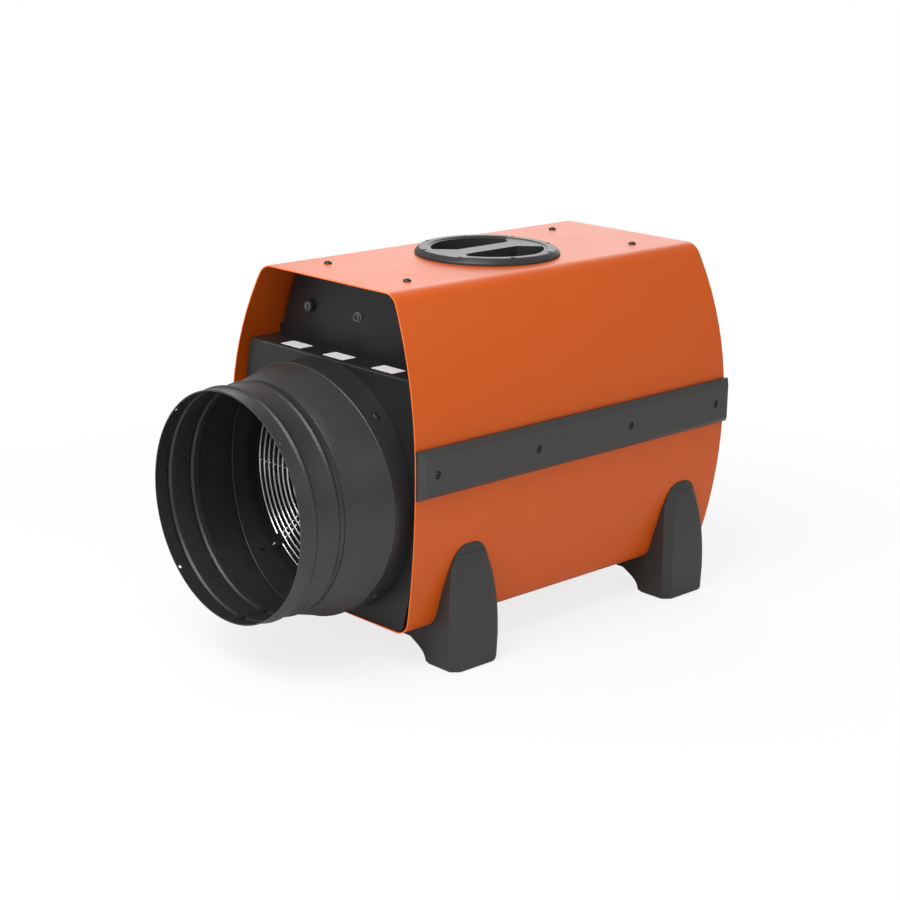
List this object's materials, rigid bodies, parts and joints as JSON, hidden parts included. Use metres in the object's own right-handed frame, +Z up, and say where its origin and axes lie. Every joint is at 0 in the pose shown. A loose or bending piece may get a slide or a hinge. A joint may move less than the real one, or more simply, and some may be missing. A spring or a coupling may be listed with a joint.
{
  "type": "industrial electric heater",
  "caption": "Orange barrel-section fan heater on black feet, with side rails, a recessed top handle, a control ledge and a beaded hose spigot on its round outlet.",
  "frame": {"origin": "centre of the footprint of the whole heater with its hose adapter, on the floor", "axes": "+Z up, X across the width, the air outlet and the controls face -Y"},
  "size_m": [0.394, 0.7466, 0.5015],
  "materials": {
    "casing_paint": "fine-texture orange powder coat",
    "black_paint": "semi-matt black powder coat",
    "adapter_paint": "semi-matt black powder coat",
    "guard_wire": "bright plated wire",
    "rail_plastic": "fine grained",
    "foot_plastic": "fine grained",
    "handle_plastic": "fine grained",
    "control_plastic": "smooth",
    "switch_plastic": "smooth",
    "zinc_sheet": "zinc coated sheet",
    "element_steel": "heat darkened",
    "fan_alloy": "cast",
    "motor_paint": "satin",
    "shaft_steel": "ground",
    "black_screw": "black oxide",
    "plated_screw": "zinc plated"
  },
  "bodies": {
    "heater": {"adapter_screws": "black_screw", "air_duct": "zinc_sheet", "cable_gland": "control_plastic", "casing": "casing_paint", "contactors": "switch_plastic", "control_panel": "black_paint", "duct_cradle": "zinc_sheet", "electrics_tray": "zinc_sheet", "element_spider": "zinc_sheet", "fan_motor": "motor_paint", "fan_shroud": "zinc_sheet", "foot_front_left": "foot_plastic", "foot_front_right": "foot_plastic", "foot_rear_left": "foot_plastic", "foot_rear_right": "foot_plastic", "foot_screws": "plated_screw", "front_cover": "black_paint", "gland_nut": "control_plastic", "guard_clip_screws": "plated_screw", "guard_clips": "black_paint", "handle_screws": "black_screw", "heating_element_inner": "element_steel", "heating_element_middle": "element_steel", "heating_element_outer": "element_steel", "hose_adapter": "adapter_paint", "intake_clip_screws": "plated_screw", "intake_clips": "black_paint", "intake_guard": "guard_wire", "motor_bracket": "zinc_sheet", "outlet_collar": "adapter_paint", "outlet_guard": "guard_wire", "overheat_cutout": "switch_plastic", "rail_left": "rail_plastic", "rail_right": "rail_plastic", "rail_screws": "black_screw", "rear_cover": "black_paint", "reset_bezel": "control_plastic", "reset_switch": "switch_plastic", "room_thermostat": "switch_plastic", "shroud_cradle": "zinc_sheet", "stage_switch": "switch_plastic", "terminal_block": "switch_plastic", "top_handle": "handle_plastic", "top_screws": "black_screw"},
    "fan": {"fan_impeller": "fan_alloy", "fan_shaft": "shaft_steel"},
    "stage_knob": {"stage_knob": "control_plastic"},
    "thermostat_knob": {"thermostat_knob": "control_plastic"},
    "reset_button": {"reset_button": "control_plastic"}
  },
  "joints": [
    {"name": "fan_spin", "type": "hinge", "parent": "heater", "child": "fan", "pos_m": [0, 0.1773, 0.2208], "axis": [0, 1, 0], "continuous": true},
    {"name": "stage_turn", "type": "hinge", "parent": "heater", "child": "stage_knob", "pos_m": [-0.095, -0.1637, 0.4345], "axis": [0, 1, 0], "range_deg": [0, 135]},
    {"name": "thermostat_turn", "type": "hinge", "parent": "heater", "child": "thermostat_knob", "pos_m": [0.095, -0.1637, 0.4345], "axis": [0, 1, 0], "range_deg": [0, 270]},
    {"name": "reset_press", "type": "slide", "parent": "heater", "child": "reset_button", "axis": [0, 1, 0], "range_m": [0, 0.003], "stiffness_N_per_m": 300}
  ]
}
